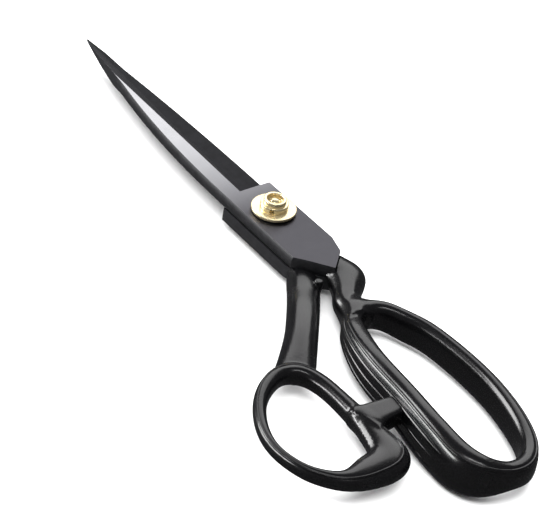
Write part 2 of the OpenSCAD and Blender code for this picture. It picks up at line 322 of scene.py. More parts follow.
def ground_steel(colours):
    """Surface-ground blade steel. The wheel leaves fine scratches across the blade; the land is polished
    towards the point and the pivot plate left a rougher satin. The colour darkens from the point to the
    plate: partly that satin and partly painted shade, the softbox's reflection painted as fading away
    from the point."""
    material, tree, shader = new_material("surface_ground_steel", colours.bright_steel,
                                          Metallic=1.0)
    place = object_place(tree)
    x = add(tree, "ShaderNodeSeparateXYZ", {"Vector": place}).outputs["X"]
    # Painted shade together with the real satin: this share runs from the point to the plate, darkens the
    # colour there and makes it rougher.
    satin_and_shade_share = spread(tree, x, 0.0, 1.0, -62 * MM, -2 * MM)
    dullness_and_shade = add(tree, "ShaderNodeMath", {0: satin_and_shade_share, 1: 1.9}, operation="POWER").outputs[0]
    stretched = add(tree, "ShaderNodeMapping", {"Vector": place, "Scale": (9000, 260, 260)})
    scratches = noise(tree, stretched.outputs["Vector"], 1.0, 3.0, Roughness=0.6)
    clouds = noise(tree, place, 160.0, 4.0)
    tone = add(tree, "ShaderNodeMix", {"Factor": dullness_and_shade, 6: (*colours.bright_steel, 1.0),
                                       7: (*colours.plate_steel_and_shade, 1.0)}, data_type="RGBA").outputs[2]
    wire(tree, shader, Base_Color=shaded(tree, tone, spread(tree, clouds, 0.9, 1.08)),
         Roughness=spread(tree, dullness_and_shade, 0.26, 0.42), Normal=relief(tree, scratches, 0.12))
    return material


def blackened(name, base, roughness, specular):
    """A blackened steel skin: mottled tone over a fine grain."""
    material, tree, shader = new_material(name, base, Metallic=0.1)
    shader.inputs["Specular IOR Level"].default_value = specular
    place = object_place(tree)
    mottle = noise(tree, place, 420.0, 6.0, Roughness=0.65)
    grain = noise(tree, place, 2600.0, 2.0)
    wire(tree, shader,
         Base_Color=shaded(tree, base, spread(tree, mottle, 0.7, 1.35, 0.3, 0.7)),
         Roughness=spread(tree, mottle, roughness - 0.06, roughness + 0.08),
         Normal=relief(tree, grain, 0.15))
    return material


def black_oxide_steel(colours):
    """Oxide-blackened inner faces: a matte, faintly mottled black with almost no shine."""
    return blackened("black_oxide_steel", colours.black_steel, 0.62, 0.13)


def forged_black_steel(colours):
    """Blackened forged spine and plate walls: dark with a soft, low shine."""
    return blackened("forged_black_steel", colours.black_steel, 0.4, 0.5)


def gloss_enamel(colours):
    """Stoved black enamel on a casting: deep gloss over a faint orange-peel waviness."""
    material, tree, shader = new_material("stoved_black_enamel", colours.enamel, Roughness=0.24)
    shader.inputs["Coat Weight"].default_value = 0.25
    shader.inputs["Coat Roughness"].default_value = 0.1
    place = object_place(tree)
    peel = noise(tree, place, 520.0, 2.0)
    wear = noise(tree, place, 90.0, 5.0)
    wire(tree, shader, Roughness=spread(tree, wear, 0.2, 0.29, 0.3, 0.7),
         Normal=relief(tree, peel, 0.03, 0.00003))
    return material


def turned_brass(colours):
    """Turned and lacquered yellow brass: pale gold with fine rings left by the lathe."""
    material, tree, shader = new_material("turned_brass", colours.brass, Metallic=0.9,
                                          Roughness=0.25)
    place = object_place(tree)
    rings = add(tree, "ShaderNodeTexWave", {"Vector": place, "Scale": 1400.0, "Distortion": 1.5,
                                            "Detail": 2.0}, wave_type="RINGS", rings_direction="Z")
    cloud = noise(tree, place, 300.0, 4.0)
    wire(tree, shader,
         Base_Color=shaded(tree, colours.brass, spread(tree, cloud, 0.9, 1.04, 0.3, 0.7)),
         Normal=relief(tree, rings.outputs["Fac"], 0.08))
    return material


def spring_steel_and_shade_line(colours):
    """Oil-blackened spring steel: dark with a low sheen. Its near-black rim under the brass washer is
    also painted shade, standing for the shade line beneath that washer.
    """
    material, tree, shader = new_material("blackened_spring_steel_and_shade_line", colours.spring,
                                          Metallic=0.7)
    cloud = noise(tree, object_place(tree), 700.0, 4.0)
    wire(tree, shader, Roughness=spread(tree, cloud, 0.35, 0.55))
    return material


def painted_floor(colours):
    """Matte painted studio floor, pale and even."""
    material, _, shader = new_material("matte_floor_paint", colours.floor, Roughness=0.9)
    shader.inputs["Specular IOR Level"].default_value = 0.1
    return material


FINISHES = {"ground_steel": ground_steel, "black_steel": black_oxide_steel,
            "forged_steel": forged_black_steel, "black_enamel": gloss_enamel,
            "brass": turned_brass, "spring_steel": spring_steel_and_shade_line, "floor": painted_floor}
_made = {}


def finish(name):
    """The material of that finish, made the first time it is asked for."""
    if name not in _made:
        _made[name] = FINISHES[name](bpy.context.scene.shears_colours)
    return _made[name]


# ---------------------------------------------------------------- blades

BLADE_STATIONS = 90
SPINE_CURVE = 2.2        # power that the spine falls to the point with
POINT_WIDTH = 0.4
LEAST_LAND = 0.4         # least thickness left along the land
# Back from a pivot plate's end wall to where its heel edge, its spine edge and its corner turn
HEEL_TURN, SPINE_TURN, CORNER_TURN = 12.8, 10.2, 6.3
HOLE_FIT = 0.05          # round the bolt in the two blades
THROUGH = (-9.0, 30.0)   # heights that a cutting tool passes the whole pivot with
SPINE_ROUND = ((0.75, 0.0), (0.22, 0.22), (0.0, 0.5), (0.12, 0.8), (0.5, 1.0))


def blade_section(spine, land, edge, top, sizes):
    """One section across a blade: rounded spine wall, land, cutting bevel, hollow inner face."""
    low, high = HALF_GAP * Q, HALF_GAP * Q + top
    room = max(0.02, min(1.0, (land - spine) / 1.2))
    wall = [(spine + out * room, low + up * top) for out, up in SPINE_ROUND]
    land = max(land, wall[-1][0] + 0.02)
    hollow = sizes.hollow * Q * min(1.0, (edge - spine) / 6)
    inner = [(edge + (wall[0][0] - edge) * t, low + hollow * math.sin(math.pi * t))
             for t in (0.2, 0.5, 0.8)]
    return wall + [(land, high), (edge, low)] + inner


def blade_sections(sizes, point, edge_start, land_start, land_move, heel):
    """Sections from the point back to the end of the pivot plate, as (x, section)."""
    reach, tip = sizes.heel_reach * Q, sizes.tip_reach * Q
    side, end, thick = sizes.spine_side * Q, sizes.plate_reach * Q, PLATE_T * Q
    rows = []
    for i in range(BLADE_STATIONS, -1, -1):
        s = i / BLADE_STATIONS
        spine = -side + (point - POINT_WIDTH + side) * s ** SPINE_CURVE
        edge = edge_start + (point - edge_start) * s
        land = land_start + land_move * s
        top = max(LEAST_LAND, min(thick, thick * (edge - spine) / max(edge - land, 0.1)))
        rows.append((-reach - s * (tip - reach), blade_section(spine, land, edge, top, sizes)))
    corners = ((-reach + 0.01, -side, heel - 0.3), (0.0, -side, heel - 0.16),
               (end - HEEL_TURN, -side, heel), (end - SPINE_TURN, -side, heel - 0.75),
               (end - CORNER_TURN, -side * 0.63, heel - 1.8), (end - 0.05, -0.45, -0.35))
    for x, spine, edge in corners:
        rows.append((x, blade_section(spine, edge - 0.02, edge, thick, sizes)))
    return rows


def make_blade(name, sizes, turned, bore, **shape):
    """Lofts a blade with its pivot plate; turned is the lower one, upside down."""
    rows = blade_sections(sizes, **shape)
    n = len(rows[0][1])
    flip = -1 if turned else 1
    points = [(x, flip * y, MEET * Q + flip * z) for x, row in rows for y, z in row]
    faces = [tuple(range(n - 1, -1, -1)), tuple(len(points) - n + k for k in range(n))]
    walls = len(SPINE_ROUND) - 1
    places = [2, 2]
    for i, k in product(range(len(rows) - 1), range(n)):
        a, b = i * n + k, i * n + (k + 1) % n
        faces.append((a, b, b + n, a + n))
        ground = k == walls or (k == walls + 1 and i < BLADE_STATIONS)
        wall = k < walls or (k == walls + 1 and not ground)
        places.append(0 if ground else 2 if wall else 1)
    top = finish("black_steel") if turned else finish("ground_steel")
    skins = [top, finish("black_steel"), finish("forged_steel")]
    blade = outward(mesh_piece(name, points, faces, skins, strips=places))
    cut(blade, bore)
    soften(blade, sizes.edge_bevel)
    return even_shading(blade)


class SHEARS_OT_blades(bpy.types.Operator):
    """Makes both blades with their pivot plates"""
    bl_idname = "shears.blades"
    bl_label = "Blades"

    def execute(self, context):
        sizes = context.scene.shears_blades
        bolt = context.scene.shears_pivot
        side = sizes.tip_side * Q
        bore, (low, high) = bolt.bolt_radius * Q + HOLE_FIT, THROUGH
        hole = lathe("hole", [(0.0, low), (bore, low), (bore, high), (0.0, high)], [])
        upper = make_blade("ground_upper_blade", sizes, False, hole, point=side, edge_start=0.6,
                           land_start=-3.6, land_move=1.75, heel=sizes.upper_heel * Q)
        neck = square_bar("neck", bolt.neck_side * Q / 2 + HOLE_FIT, low, high, [])
        lower = make_blade("blackened_lower_blade", sizes, True, neck, point=-side, edge_start=1.6,
                           land_start=-2.6, land_move=-4.2, heel=sizes.lower_heel * Q)
        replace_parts(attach(upper, "finger_lever"), "upper_blade")
        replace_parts(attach(lower, "thumb_lever"), "lower_blade")
        return {"FINISHED"}


# ---------------------------------------------------------------- handles

# How square a bar's section is: the lower half's power and the upper half's, 2 being an ellipse
BOW_SQUARE, LOOP_SQUARE = 3.4, 2.5
BOW_CREST, LOOP_CREST = 2.5, 2.1
FINGER_SHANK_FORM, THUMB_SHANK_FORM, LUG_FORM = (2.6, 2.2), (2.2, 2.0), (4.0, 6.0)
# Fillets where the bow, the loop, the lug and the nub meet what they are cast on, millimetres
BOW_FILLET, LOOP_FILLET, LUG_FILLET, NUB_FILLET = 4.0, 1.6, 2.0, 0.6
PLATE_FIT = 0.06         # round a handle's own pivot plate
PASSING_FIT = 0.36       # to the parts of the other lever that pass above or below
SWING_FIT = 0.4          # round the other lever's pivot plate
REST_FIT = 0.12          # from the thumb handle's lug to the finger rest
NUB_PLACE, NUB_RADIUS, NUB_MIDDLE, NUB_HALF = (0.2, -6.4), 1.3, 0.3, 1.7
# Corners of the grids that the two castings are drawn on
FINGER_GRID = ((20, -27, -8.8), (134.5, 13.5, 8.8))
THUMB_GRID = ((20, -68, -7.6), (118, 0, 6.4))
SLACK = (0.16, 0.36)     # mm that keeps the drawn bars inside the solid ones, across and in depth

# Centre lines are [x, y, thickness, depth], with x from the end of the pivot plates. Where they
# aren't nought, the height of the centre over the meeting plane and the section's lean, outwards
# for each millimetre upwards, come after those
def handle_paths(s):
    """The centre lines of the five bars that the two castings are made of."""
    rest, deep = s.finger_rest_width * Q, s.finger_rest_depth * Q
    bar, outer = s.bow_bar_width * Q, s.outer_bar_depth * Q
    shank, loop = s.shank_depth * Q, s.loop_depth * Q
    ring, thumb = s.loop_bar_width * Q, s.thumb_rest_width * Q
    return {
        "bow": [[17.5, -2.9, 6.8, outer + 0.4, -0.2], [20.7, 2.7, bar + 1.2, outer + 1, -0.4, 0.05],
                [28, 6.3, bar + 0.6, outer + 1.4, -0.7, 0.1],
                [36.8, 8.8, bar + 0.2, outer + 1.4, -0.7, 0.1],
                [51, 9.8, bar + 0.2, outer + 1.6, -0.8, 0.1],
                [64.8, 9.1, bar + 0.4, outer + 1.6, -0.8, 0.1],
                [78.5, 6.1, bar + 0.8, outer + 1.2, -0.6, 0.1],
                [89.3, 1.6, bar + 1.2, outer + 0.6, -0.3, 0.05],
                [95.4, -4.7, bar + 1.5, outer + 0.4, 0.3], [96.2, -11.8, 6.6, deep - 7, 0.9],
                [92.8, -18.7, 7.8, deep - 3.2, 0.9, -0.05], [85.4, -21.7, 9, deep - 1, 0.5, -0.05],
                [73, -21.1, rest + 2, deep - 0.2, 0.4, -0.05],
                [58.4, -19.1, rest + 1.5, deep - 1.4, 0.6, -0.05],
                [40.2, -17.1, rest + 1.4, deep - 2.6, 0.8, -0.05],
                [26.4, -12.5, rest + 1.2, deep - 5.4, 0.5], [19.4, -7.8, 6, shank]],
        "finger_shank": [[-8.4, 1.8, 9, shank], [-3.4, 3, 11.2, shank], [1.6, 3.1, 12.6, shank],
                [7.3, -0.9, 9.4, shank], [12.4, -4.6, 8.4, shank], [19.4, -6.6, 6.4, shank]],
        "loop": [[29.6, -43.4, ring + 1.4, loop], [32.4, -50.6, ring + 1.1, loop - 0.2],
                [38.8, -57.5, ring + 0.3, loop - 0.8], [48.2, -62.7, ring - 0.1, loop - 1.2],
                [57.5, -64.2, ring - 0.5, loop - 1.2], [67.6, -61.6, ring - 0.1, loop - 0.8],
                [74.6, -54.9, ring + 2.3, loop - 0.4], [75.7, -45.9, thumb + 1, loop + 0.8],
                [73.1, -36.9, thumb + 2.2, loop + 1.4], [61.4, -34.9, ring + 3.5, loop + 1],
                [48.6, -34.4, ring + 1.4, loop + 0.6], [38.4, -34.9, ring + 1.2, loop + 0.4],
                [32, -37.6, ring + 1.3, loop + 0.4]],
        "thumb_shank": [[-9.1, -5.6, 9, shank, -2.4], [-4.6, -8.2, 10.4, shank, -2.4],
                [0.6, -12, 10.4, shank, -2.2], [7.8, -17.8, 10.3, shank, -1.2],
                [16.8, -25.4, 10.4, shank - 0.2, -0.6], [24.4, -32.4, 11.4, shank - 1.2, -0.6],
                [31.2, -39, 12.8, loop - 0.6, -0.6]],
        "lug": [[59.4, -35, 10.6, loop + 0.2, 0.5], [58.6, -32, 9.6, loop + 0.8, 0.7],
                [58.6, -25, 7.8, loop + 0.8, 0.9], [58.2, -17, 6.4, loop + 0.8, 0.9]],
    }


class Bar:
    """A bar of changing section along a smooth centre line, in millimetres. The crest, the upper
    half of its section, is rounded as much as crest says and the lower half as square says."""

    def __init__(self, path, start, closed, square, crest, slices=28):
        rows = np.array([row + [0.0] * (6 - len(row)) for row in path], float)
        rows[:, 0] += start
        rows[:, 2:4] -= SLACK
        n = len(rows)
        spans = n if closed else n - 1
        t = np.arange(slices)[:, None] / slices
        out = []
        for i in range(spans):
            ids = [i - 1, i, i + 1, i + 2]
            a, b, c, d = (rows[j % n] if closed else rows[min(max(j, 0), n - 1)] for j in ids)
            out.append(0.5 * (2 * b + (c - a) * t + (2 * a - 5 * b + 4 * c - d) * t ** 2
                              + (3 * b - a - 3 * c + d) * t ** 3))
        if not closed:
            out.append(rows[-1:])
        rows = np.vstack(out)
        self.centre = rows[:, :2]
        self.width, self.depth, self.height, self.lean = rows[:, 2:].T
        if closed:
            way = np.roll(self.centre, -1, 0) - np.roll(self.centre, 1, 0)
        else:
            way = np.gradient(self.centre, axis=0)
        self.way = way / np.linalg.norm(way, axis=1)[:, None]
        self.across = np.stack([-self.way[:, 1], self.way[:, 0]], 1)
        self.closed, self.square, self.crest = closed, square, crest

    def field(self, flat, z):
        """Signed distance, near enough, from the bar's skin at each flat point and height."""
        near = np.concatenate([((flat[i:i + 4000, None] - self.centre[None]) ** 2).sum(2).argmin(1)
                               for i in range(0, len(flat), 4000)])
        off = flat - self.centre[near]
        side = (off * self.across[near]).sum(1)[:, None]
        past = np.abs((off * self.way[near]).sum(1))[:, None]
        w, h = self.width[near][:, None] / 2, self.depth[near][:, None] / 2
        up = z[None] - self.height[near][:, None]
        side = side - self.lean[near][:, None] * up
        q = np.where(up > 0, self.crest, self.square)
        ratio = ((np.abs(side) / w) ** q + (np.abs(up) / h) ** q) ** (1 / q)
        radius = np.sqrt(side ** 2 + up ** 2)
        skin = np.where(ratio < 0.05, -np.minimum(w, h), radius * (1 - 1 / np.maximum(ratio, 0.05)))
        if self.closed:
            return skin
        return np.where(past > 0.5, np.maximum(skin, past), skin)


def joined(a, b, fillet):
    """Two fields as one, with a fillet of that size where they meet."""
    blend = np.maximum(fillet - np.abs(a - b), 0.0)
    return np.minimum(a, b) - blend ** 2 / (4 * fillet)


def inside_outline(flat, outline):
    """Signed distance of flat points from a closed outline."""
    best = np.full(len(flat), 1e9)
    within = np.zeros(len(flat), bool)
    for (ax, ay), (bx, by) in zip(outline, outline[1:] + outline[:1]):
        edge = np.array([bx - ax, by - ay])
        rel = flat - (ax, ay)
        t = np.clip(rel @ edge / (edge @ edge), 0, 1)[:, None]
        best = np.minimum(best, np.linalg.norm(rel - t * edge, axis=1))
        crosses = (ay > flat[:, 1]) != (by > flat[:, 1])
        with np.errstate(divide="ignore", invalid="ignore"):
            at = (bx - ax) * (flat[:, 1] - ay) / (by - ay) + ax
        within ^= crosses & (flat[:, 0] < at)
    return np.where(within, -best, best)


def skin_net(values, low, step):
    """Points and four-sided faces of the surface where a grid of values crosses zero."""
    inside = values < 0
    shape = np.array(values.shape) - 1
    corners = list(product((0, 1), repeat=3))
    count = sum(inside[i:shape[0] + i, j:shape[1] + j, k:shape[2] + k].astype(np.int8)
                for i, j, k in corners)
    cells = np.argwhere((count > 0) & (count < 8))
    number = -np.ones(shape, np.int64)
    number[tuple(cells.T)] = np.arange(len(cells))
    total, hits = np.zeros((len(cells), 3)), np.zeros(len(cells))
    for axis, corner in product(range(3), corners):
        if corner[axis]:
            continue
        there = list(corner)
        there[axis] = 1
        fa = values[tuple((cells + corner).T)]
        fb = values[tuple((cells + there).T)]
        crossed = (fa < 0) != (fb < 0)
        spot = np.array(corner, float) + np.zeros((len(cells), 1))
        spot[crossed, axis] = (fa / np.where(crossed, fa - fb, 1.0))[crossed]
        total[crossed] += spot[crossed]
        hits += crossed
    points = low + step * (cells + total / hits[:, None])
    faces = []
    for axis in range(3):
        u, v = (axis + 1) % 3, (axis + 2) % 3
        first = np.take(inside, range(shape[axis]), axis)
        second = np.take(inside, range(1, shape[axis] + 1), axis)
        edges = np.argwhere(first != second)
        edges = edges[(edges[:, u] > 0) & (edges[:, v] > 0)
                      & (edges[:, u] < shape[u]) & (edges[:, v] < shape[v])]
        back_u, back_v = np.zeros(3, int), np.zeros(3, int)
        back_u[u], back_v[v] = 1, 1
        steps = (0 * back_u, back_u, back_u + back_v, back_v)
        quads = np.stack([number[tuple((edges - move).T)] for move in steps], 1)
        leaves = first[tuple(edges.T)]
        quads[~leaves] = quads[~leaves][:, ::-1]
        faces.append(quads)
    return points, np.vstack(faces)


def relaxed(points, faces, rounds=4, pull=0.5):
    """Points eased towards the mean of their neighbours, without shrinking the piece."""
    ends = np.vstack([np.stack([faces[:, k], faces[:, (k + 1) % 4]], 1) for k in range(4)])
    for _ in range(rounds):
        for amount in (pull, -pull * 1.03):
            total, hits = np.zeros_like(points), np.zeros(len(points))
            for a, b in ((0, 1), (1, 0)):
                np.add.at(total, ends[:, a], points[ends[:, b]])
                np.add.at(hits, ends[:, a], 1)
            points = points + amount * (total / hits[:, None] - points)
    return points


def cast(name, field, low, high, step):
    """A casting from its field, drawn on a grid between two corners, in millimetres."""
    axes = [np.arange(a, b, step) for a, b in zip(low, high)]
    flat = np.stack(np.meshgrid(axes[0], axes[1], indexing="ij"), -1).reshape(-1, 2)
    values = field(flat, axes[2]).reshape([len(a) for a in axes])
    points, faces = skin_net(values, np.array(low), step)
    points = relaxed(points, faces)
    points[:, 2] += MEET * Q
    return mesh_piece(name, points.tolist(), faces.tolist(), [finish("black_enamel")])


def plate_outline(sizes, heel):
    """The upper pivot plate seen from above; the lower one is its mirror image."""
    side, end, reach = sizes.spine_side * Q, sizes.plate_reach * Q, sizes.heel_reach * Q
    return [(-reach, heel - 0.3), (end - HEEL_TURN, heel), (end - CORNER_TURN, heel - 1.8),
            (end, -0.4), (end - SPINE_TURN, -side), (-reach, -side)]


def ring_bars(sizes):
    """The finger bow's bar and the thumb loop's, which the castings and the beads follow."""
    paths, start = handle_paths(sizes), sizes.plate_end * Q
    return (Bar(paths["bow"], start, True, BOW_SQUARE, BOW_CREST),
            Bar(paths["loop"], start, True, LOOP_SQUARE, LOOP_CREST))


class SHEARS_OT_handles(bpy.types.Operator):
    """Casts the finger handle and the thumb handle"""
    bl_idname = "shears.handles"
    bl_label = "Handles"

    def execute(self, context):
        sizes, blades = context.scene.shears_handles, context.scene.shears_blades
        start, step = sizes.plate_end * Q, sizes.grid * Q
        paths, (bow, loop) = handle_paths(sizes), ring_bars(sizes)
        finger_shank = Bar(paths["finger_shank"], start, False, *FINGER_SHANK_FORM)
        thumb_shank = Bar(paths["thumb_shank"], start, False, *THUMB_SHANK_FORM)
        lug = Bar(paths["lug"], start, False, *LUG_FORM)
        upper_plate = plate_outline(blades, blades.upper_heel * Q)
        lower_plate = [(x, -y) for x, y in plate_outline(blades, blades.lower_heel * Q)]
        swing = blades.plate_reach * Q + SWING_FIT

        def finger_field(flat, z):
            body = joined(bow.field(flat, z), finger_shank.field(flat, z), BOW_FILLET)
            over = np.maximum(inside_outline(flat, upper_plate)[:, None] - PLATE_FIT, -z[None])
            reach = np.hypot(flat[:, 0], flat[:, 1])[:, None] - swing
            under = np.maximum(reach, z[None] - PASSING_FIT)
            return np.maximum(body, np.maximum(-over, -under))

        def thumb_field(flat, z):
            body = joined(loop.field(flat, z), thumb_shank.field(flat, z), LOOP_FILLET)
            body = joined(body, lug.field(flat, z), LUG_FILLET)
            nub_x, nub_y = NUB_PLACE
            nub = np.hypot(flat[:, 0] - start - nub_x, flat[:, 1] - nub_y)[:, None] - NUB_RADIUS
            nub = np.maximum(nub, np.abs(z[None] - NUB_MIDDLE) - NUB_HALF)
            body = joined(body, nub, NUB_FILLET)
            under = np.maximum(inside_outline(flat, lower_plate)[:, None] - PLATE_FIT, z[None])
            over = np.maximum(inside_outline(flat, upper_plate)[:, None] - SWING_FIT,
                              -z[None] - PASSING_FIT)
            shank = finger_shank.field(flat, z) - PASSING_FIT
            rest = REST_FIT - bow.field(flat, z)
            return np.maximum(body, np.maximum.reduce([-under, -over, -shank, rest]))

        finger = cast("enamelled_finger_handle", finger_field, *FINGER_GRID, step)
        thumb = cast("enamelled_thumb_handle", thumb_field, *THUMB_GRID, step)
        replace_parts(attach(finger, "finger_lever"), "finger_handle")
        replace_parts(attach(thumb, "thumb_lever"), "thumb_handle")
        return {"FINISHED"}


# ---------------------------------------------------------------- beads and ribs

RIM_HEIGHT = 0.8                  # share of the half depth that a rim bead lies at
RIB_HEIGHT, RIB_STEP = 0.42, -0.5  # shares for the first rib and from each rib to the next
SUNK = 0.45                       # share of a bead's radius that lies in the wall
LOOP_BEAD = 0.8                   # the thumb loop's bead beside the finger bow's


def sweep_tree():
    """Geometry nodes that lay a row of round beads along a path's own side wall. Each point of
    the path carries the way out to the wall, the half width, the half depth and a taper."""
    tree = bpy.data.node_groups.new("beads_along_wall", "GeometryNodeTree")
    face = tree.interface
    face.new_socket("Geometry", in_out="INPUT", socket_type="NodeSocketGeometry")
    face.new_socket("Count", in_out="INPUT", socket_type="NodeSocketInt")
    for label in ("Radius", "First Height", "Height Step", "Square", "Sink"):
        face.new_socket(label, in_out="INPUT", socket_type="NodeSocketFloat")
    face.new_socket("Finish", in_out="INPUT", socket_type="NodeSocketMaterial")
    face.new_socket("Geometry", in_out="OUTPUT", socket_type="NodeSocketGeometry")
    given = add(tree, "NodeGroupInput").outputs

    def named(label, kind):
        return add(tree, "GeometryNodeInputNamedAttribute", {"Name": label}, data_type=kind).outputs[0]

    fact = {label: named(label, "FLOAT") for label in ("half_width", "half_depth", "taper", "lean")}
    out = named("outward", "FLOAT_VECTOR")

    def maths(operation, a, b):
        return add(tree, "ShaderNodeMath", {0: a, 1: b}, operation=operation).outputs[0]

    curve = add(tree, "GeometryNodeMeshToCurve", {"Mesh": given["Geometry"]})
    rows = add(tree, "GeometryNodeDuplicateElements", {"Geometry": curve.outputs["Curve"],
                                                       "Amount": given["Count"]}, domain="SPLINE")
    share = maths("ADD", given["First Height"],
                  maths("MULTIPLY", rows.outputs["Duplicate Index"], given["Height Step"]))
    fallen = maths("POWER", maths("ABSOLUTE", share, 0.0), given["Square"])
    bulge = maths("POWER", maths("SUBTRACT", 1.0, fallen), maths("DIVIDE", 1.0, given["Square"]))
    height = maths("MULTIPLY", fact["half_depth"], share)
    wall = maths("ADD", maths("MULTIPLY", fact["half_width"], bulge),
                 maths("MULTIPLY", fact["lean"], height))
    reach = maths("SUBTRACT", wall, given["Sink"])
    side = add(tree, "ShaderNodeVectorMath", {0: out}, operation="SCALE")
    tree.links.new(reach, side.inputs["Scale"])
    lift = add(tree, "ShaderNodeCombineXYZ", {"Z": height}).outputs["Vector"]
    move = add(tree, "ShaderNodeVectorMath", {0: side.outputs["Vector"], 1: lift}, operation="ADD")
    placed = add(tree, "GeometryNodeSetPosition", {"Geometry": rows.outputs["Geometry"],
                                                   "Offset": move.outputs["Vector"]})
    profile = add(tree, "GeometryNodeCurvePrimitiveCircle",
                  {"Resolution": 10, "Radius": given["Radius"]})
    swept = add(tree, "GeometryNodeCurveToMesh", {"Curve": placed.outputs["Geometry"],
                                                  "Profile Curve": profile.outputs["Curve"],
                                                  "Scale": fact["taper"], "Fill Caps": True})
    smooth = add(tree, "GeometryNodeSetShadeSmooth", {"Geometry": swept.outputs["Mesh"]})
    real = add(tree, "GeometryNodeRealizeInstances", {"Geometry": smooth.outputs["Geometry"]})
    coated = add(tree, "GeometryNodeSetMaterial", {"Geometry": real.outputs["Geometry"],
                                                   "Material": given["Finish"]})
    add(tree, "NodeGroupOutput", {"Geometry": coated.outputs["Geometry"]})
    return tree


def swept_beads(name, bar, part, side, tree, **values):
    """Beads along a stretch of a bar's wall; part is the first and last share of its length."""
    n = len(bar.centre)
    ids = np.arange(int(part[0] * n), int(part[1] * n)) % n
    whole = part[1] - part[0] >= 1
    mesh = bpy.data.meshes.new(name)
    points = [(x * MM, y * MM, MEET + z * MM) for (x, y), z in zip(bar.centre[ids], bar.height[ids])]
    links = [(k, k + 1) for k in range(len(ids) - 1)] + ([(len(ids) - 1, 0)] if whole else [])
    mesh.from_pydata(points, links, [])
    ends = np.linspace(0, 1, len(ids))
    taper = np.clip(np.minimum(ends, 1 - ends) / 0.12, 0.05, 1) ** 0.7
    if whole:
        taper = np.ones(len(ids))
    facts = {"half_width": bar.width[ids] / 2 * MM, "half_depth": bar.depth[ids] / 2 * MM,
             "taper": taper, "lean": bar.lean[ids] * side}
    for label, data in facts.items():
        mesh.attributes.new(label, "FLOAT", "POINT").data.foreach_set("value", data)
    out = np.c_[bar.across[ids] * side, np.zeros(len(ids))]
    mesh.attributes.new("outward", "FLOAT_VECTOR", "POINT").data.foreach_set("vector", out.ravel())
    obj = as_object(name, mesh)
    nodes = obj.modifiers.new("sweep", "NODES")
    nodes.node_group = tree
    sockets = {item.name: item.identifier for item in tree.interface.items_tree
               if item.in_out == "INPUT"}
    for label, value in values.items():
        nodes[sockets[label.replace("_", " ")]] = value
    nodes[sockets["Finish"]] = finish("black_enamel")
    return outward(with_modifiers_applied(obj))


class SHEARS_OT_beads(bpy.types.Operator):
    """Lays the beads round both bows' rims and the ribs along the finger rest"""
    bl_idname = "shears.beads"
    bl_label = "Beads and Ribs"

    def execute(self, context):
        sizes = context.scene.shears_handles
        bow, loop = ring_bars(sizes)
        tree = sweep_tree()
        bead, rib = sizes.bead_radius, sizes.rib_radius
        rim = dict(Count=1, First_Height=RIM_HEIGHT, Height_Step=0.0, Sink=bead * SUNK)
        pieces = [
            ("finger_bow_rim_bead", bow, (0.05, 0.96), 1, "finger_lever",
             dict(rim, Radius=bead, Square=BOW_CREST)),
            ("finger_rest_ribs", bow, (0.66, 0.97), 1, "finger_lever",
             dict(Count=sizes.rib_count, Radius=rib, First_Height=RIB_HEIGHT,
                  Height_Step=RIB_STEP, Square=BOW_SQUARE, Sink=rib * SUNK)),
            ("thumb_loop_rim_bead", loop, (0.0, 1.0), -1, "thumb_lever",
             dict(rim, Radius=bead * LOOP_BEAD, Square=LOOP_CREST)),
        ]
        for name, bar, part, side, body, values in pieces:
            piece = swept_beads(name, bar, part, side, tree, **values)
            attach(piece, body)
        return {"FINISHED"}


# ---------------------------------------------------------------- pivot

BORE_FIT = 0.08          # round the bolt in the washers and the nut
NOTCH_TURN = -48         # degrees round the bolt
NOTCH_CUT = 0.7          # how far the notches reach in under the nut's upper round
NOTCH_ROOF = 0.2         # what they leave of its lower round above them
HEAD_HEIGHT = 1.3
DOME_SHARE, DOME_HEIGHT = 0.78, 0.75    # of the thread's radius, and millimetres


def wrench_notches(sizes, z):
    """Two blocks that cut the wrench notches in the nut's sides."""
    half, turn = sizes.notch_width * Q / 2, math.radians(NOTCH_TURN)
    inner, roof = sizes.nut_top_radius * Q - NOTCH_CUT, z + sizes.nut_low * Q - NOTCH_ROOF
    points, faces = [], []
    for side in (0, math.pi):
        base = len(points)
        c, s = math.cos(turn + side), math.sin(turn + side)
        for x, y, h in product((inner, 6.0), (-half, half), (z - 1, roof)):
            points.append((x * c - y * s, x * s + y * c, h))
        quads = ((0, 1, 3, 2), (4, 6, 7, 5), (0, 4, 5, 1), (2, 3, 7, 6), (0, 2, 6, 4), (1, 5, 7, 3))
        faces += [tuple(base + k for k in quad) for quad in quads]
    return outward(mesh_piece("notches", points, faces, [], smooth=False))


